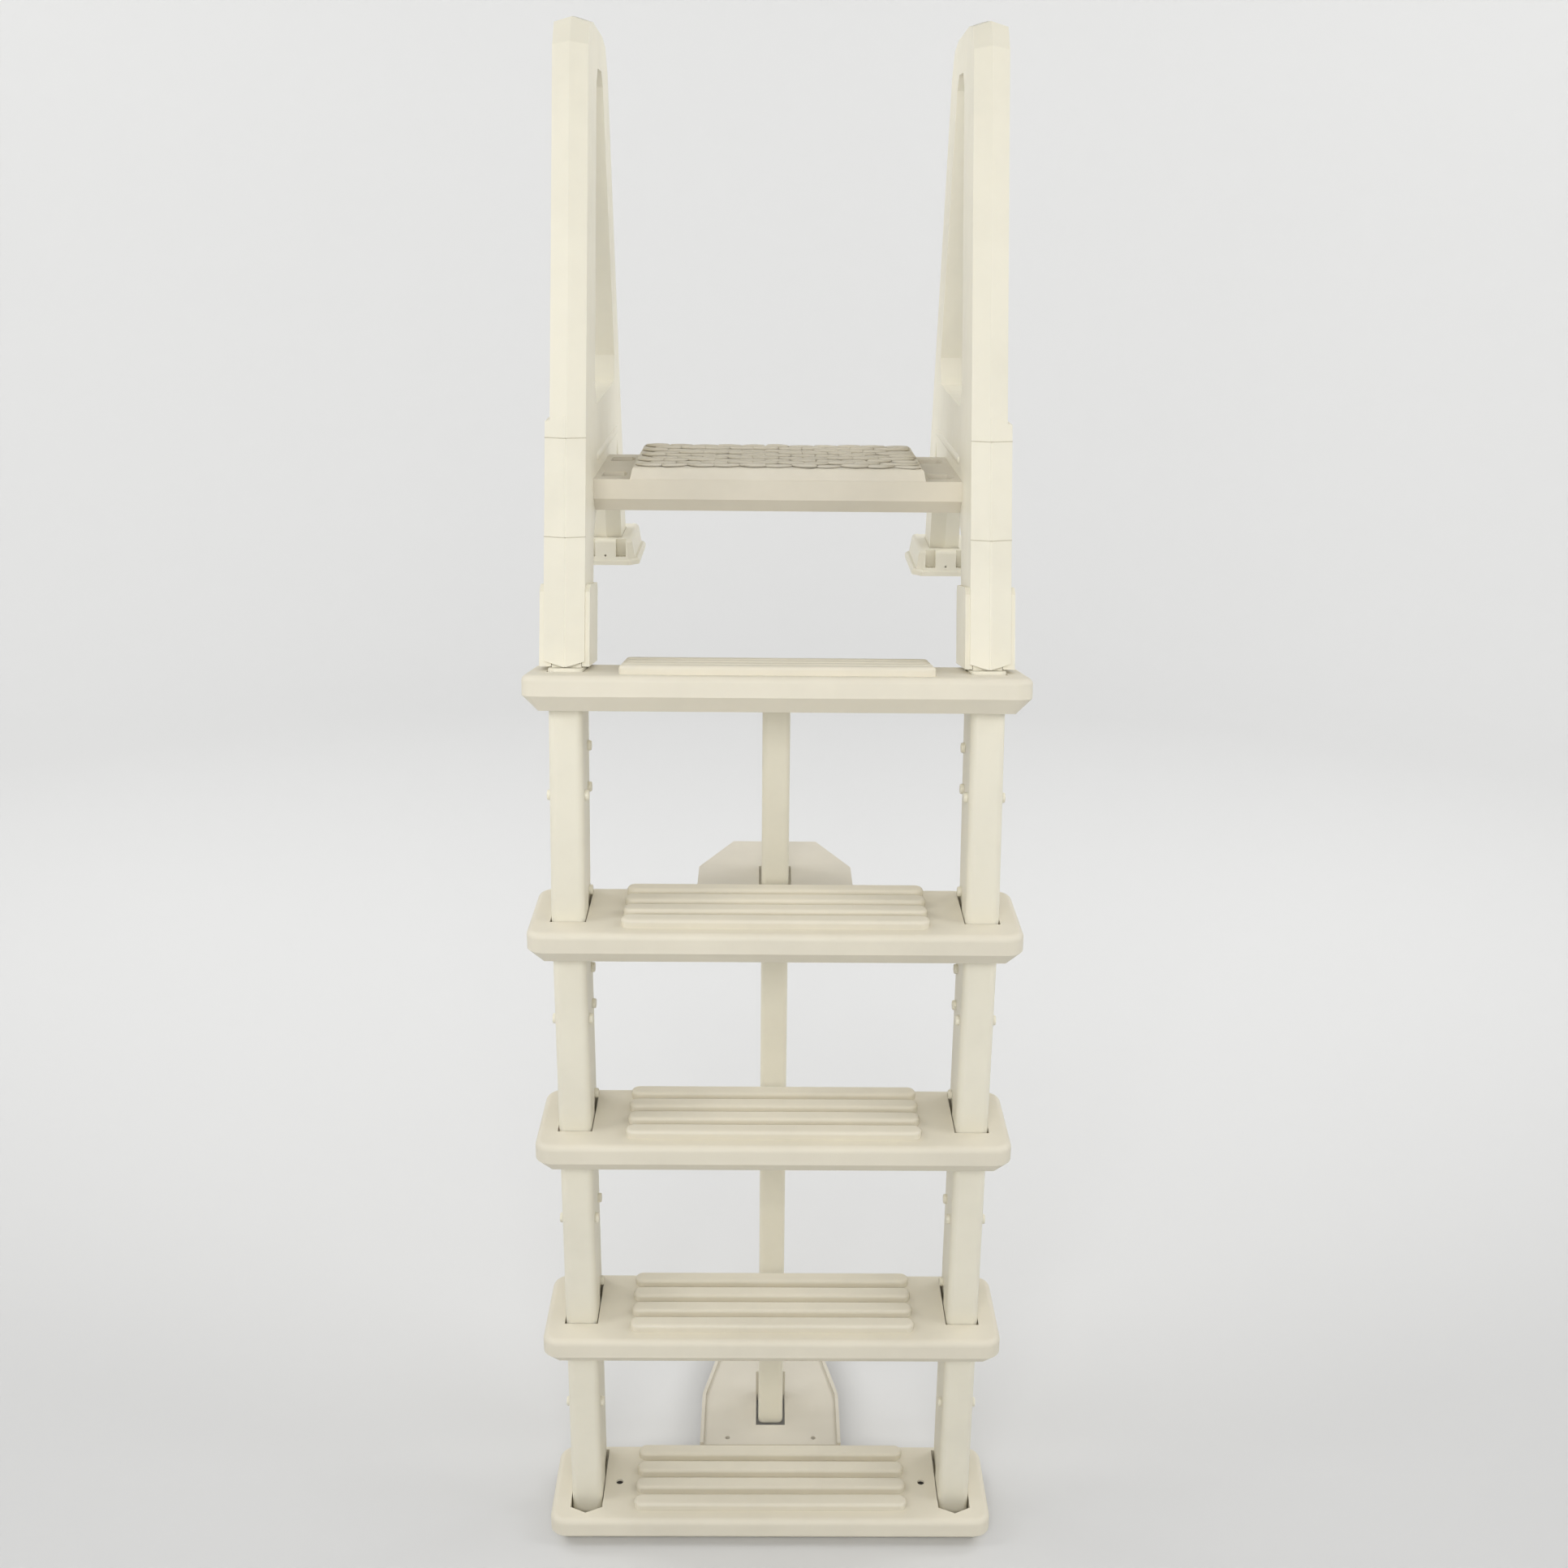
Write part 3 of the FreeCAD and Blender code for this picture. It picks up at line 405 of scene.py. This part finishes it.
def panel_details(name):
    """Relief on both faces of a side panel: a long pad, a ledge, vents and two plugged holes."""
    low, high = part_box("handrail_" + name)
    sill = high.z - SILL_DROP
    middle = (low.x + high.x) / 2
    work = bmesh.new()
    holes = bmesh.new()
    front = low.y + (sill - high.z + HANDRAIL_HEIGHT) * LEAN + PANEL_SETBACK
    for face in (-1, 1):
        x = middle + face * (LEG_HALF_WIDTH + PROUD)
        for behind, drop, half, radius, segments in BARS:
            add_block(work, (x, front + behind, sill - drop), half, radius, segments)
        for behind in VENT_PLACES:
            for rib in range(VENT_RIBS):
                place = (x, front + behind, sill - VENT_DROP - rib * VENT_PITCH)
                add_block(work, place, VENT_HALF, VENT_ROUND, 2)
        for behind in PLUG_PLACES:
            plug = bmesh.ops.create_cone(holes, cap_ends=True, segments=PLUG_STEPS,
                                         radius1=PLUG_BASE, radius2=PLUG_FACE, depth=PLUG_DEPTH)
            turn = Matrix.Rotation(math.pi / 2, 4, "Y")
            place = Matrix.Translation((x, front + behind, sill - PLUG_DROP))
            bmesh.ops.transform(holes, matrix=place @ turn, verts=plug["verts"])
    new_piece("panel_pads_" + name, work, resin, "handrail_unit")
    new_piece("panel_plugs_" + name, holes, rubber, "handrail_unit")


for side in SIDES:
    low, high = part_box("handrail_" + side)
    for seam, drop in SEAM_DROPS.items():
        add_seam(seam + side, shells["handrail_" + side], high.z - drop, low.y + LEG_REACH)
    panel_details(side)


# ---- platform's anti-slip petals --------------------------------------------------------

PETAL_LONG = 0.0195                   # half length
PETAL_WIDE = 0.0125                   # half width
PETAL_HEIGHTS = (0.0030, 0.0048)
PETAL_STEPS = 20
PETAL_RINGS = ((1.0, 0.0), (0.95, 0.62), (0.80, 0.90), (0.42, 1.0))    # share of size and height
PETAL_POINT = 0.3                     # how far the ends narrow to a point
PETAL_CROWN = 1.03
TILT = 0.55                           # share of a scale's height that tips it towards the bather
TURN = 0.38                           # radians that neighbours turn, each way
TURN_SPREAD = 0.22
COLUMNS = 11
LINES = 9
PAD_HALF = 0.184
PAD_FRONT = 0.006                     # from the platform's front edge
PAD_BACK = 0.014
SUNK = 0.0005


def petal(work, centre, turn, height):
    """A leaf-shaped scale whose near edge stands proud of the next one."""
    rows = []
    for scale, lift in PETAL_RINGS:
        row = []
        for step in range(PETAL_STEPS):
            angle = 2 * math.pi * step / PETAL_STEPS
            x = PETAL_LONG * scale * math.cos(angle)
            y = PETAL_WIDE * scale * math.sin(angle) * (1.0 - PETAL_POINT * abs(math.cos(angle)))
            across = x * math.cos(turn) - y * math.sin(turn)
            along = x * math.sin(turn) + y * math.cos(turn)
            rise = height * lift * (1.0 - TILT * along / PETAL_WIDE)
            row.append(work.verts.new(centre + Vector((across, along, rise))))
        rows.append(row)
    top = work.verts.new(centre + Vector((0, 0, height * PETAL_CROWN)))
    for outer, inner in zip(rows, rows[1:]):
        for step in range(PETAL_STEPS):
            after = (step + 1) % PETAL_STEPS
            work.faces.new((outer[step], outer[after], inner[after], inner[step]))
    for step in range(PETAL_STEPS):
        work.faces.new((rows[-1][step], rows[-1][(step + 1) % PETAL_STEPS], top))
    work.faces.new(list(reversed(rows[0])))


def anti_slip():
    """Overlapping petals in staggered lines over the platform's raised pad."""
    low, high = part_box("platform")
    half_x = PAD_HALF - PETAL_LONG
    front = low.y + PAD_FRONT + PETAL_WIDE
    back = high.y - PAD_BACK - PETAL_WIDE
    chance = random.Random(11)
    work = bmesh.new()
    for line in range(LINES):
        for column in range(COLUMNS):
            shift = 0.5 * (line % 2)
            x = min(half_x, -half_x + (column + shift) * 2 * half_x / (COLUMNS - 1))
            y = front + line * (back - front) / (LINES - 1)
            lean = TURN if (line + column) % 2 else -TURN
            turn = lean + chance.uniform(-TURN_SPREAD, TURN_SPREAD)
            petal(work, Vector((x, y, high.z - SUNK)), turn, chance.uniform(*PETAL_HEIGHTS))
    new_piece("anti_slip_petals", work, petal_resin_painted_shade, "handrail_unit")


anti_slip()


# ---- floor, wall and light ---------------------------------------------------

FLOOR_RADIUS = 4.2
FLOOR_RINGS = 4
FLOOR_DROP = 0.0005                   # keeps the floor clear of the tread's underside
WALL_CURVE = 2.0
CURVE_STEPS = 10
WALL_TOP = 4.5
WALL_STEPS = 96
STUDIO_GREY = (0.70, 0.70, 0.695, 1)
STUDIO_ROUGHNESS = 0.9
WORLD_STRENGTH = 0.28


def studio():
    """A pale round floor that curves up into a wall all round, far from the ladder."""
    profile = [(FLOOR_RADIUS * k / FLOOR_RINGS, 0.0) for k in range(1, FLOOR_RINGS + 1)]
    for step in range(1, CURVE_STEPS + 1):
        angle = math.pi / 2 * step / CURVE_STEPS
        reach = FLOOR_RADIUS + WALL_CURVE * math.sin(angle)
        profile.append((reach, WALL_CURVE * (1 - math.cos(angle))))
    profile.append((FLOOR_RADIUS + WALL_CURVE, WALL_TOP))
    turns = [2 * math.pi * k / WALL_STEPS for k in range(WALL_STEPS)]
    verts = [(r * math.cos(turn), r * math.sin(turn), z - FLOOR_DROP) for r, z in profile for turn in turns]
    faces = [tuple(range(WALL_STEPS))]
    for ring in range(len(profile) - 1):
        inner = ring * WALL_STEPS
        outer = inner + WALL_STEPS
        for k in range(WALL_STEPS):
            after = (k + 1) % WALL_STEPS
            faces.append((inner + k, outer + k, outer + after, inner + after))
    mesh = bpy.data.meshes.new("backdrop")
    mesh.from_pydata(verts, [], faces)
    piece = bpy.data.objects.new("backdrop", mesh)
    scene.collection.objects.link(piece)
    for face in mesh.polygons:
        face.use_smooth = True
    material, _, shader = new_material("backdrop")
    shader.inputs["Base Color"].default_value = STUDIO_GREY
    shader.inputs["Roughness"].default_value = STUDIO_ROUGHNESS
    piece.data.materials.append(material)


def area_light(name, place, target, power, wide):
    data = bpy.data.lights.new(name, "AREA")
    data.energy = power
    data.size = wide
    lamp = bpy.data.objects.new(name, data)
    lamp.location = place
    lamp.rotation_euler = (Vector(target) - Vector(place)).to_track_quat("-Z", "Y").to_euler()
    scene.collection.objects.link(lamp)


studio()
world = bpy.data.worlds.new("studio")
world.use_nodes = True
world.node_tree.nodes["Background"].inputs["Color"].default_value = (1.0, 1.0, 1.0, 1)
world.node_tree.nodes["Background"].inputs["Strength"].default_value = WORLD_STRENGTH
scene.world = world
area_light("key", (-0.2, -2.4, 2.2), (0.0, 0.2, 1.9), 33, 1.2)
for side in (-1, 1):
    area_light("side_fill", (side * 2.6, -0.4, 2.7), (0.0, 0.2, 1.6), 28, 1.4)
    area_light("backdrop_wash", (side * 2.6, 1.6, 3.6), (side * 0.8, 6.0, 1.2), 100, 3.0)
    area_light("rear_wash", (side * 2.6, -3.4, 3.6), (side * 1.2, -6.0, 1.2), 45, 3.0)
scene.view_settings.view_transform = "Standard"
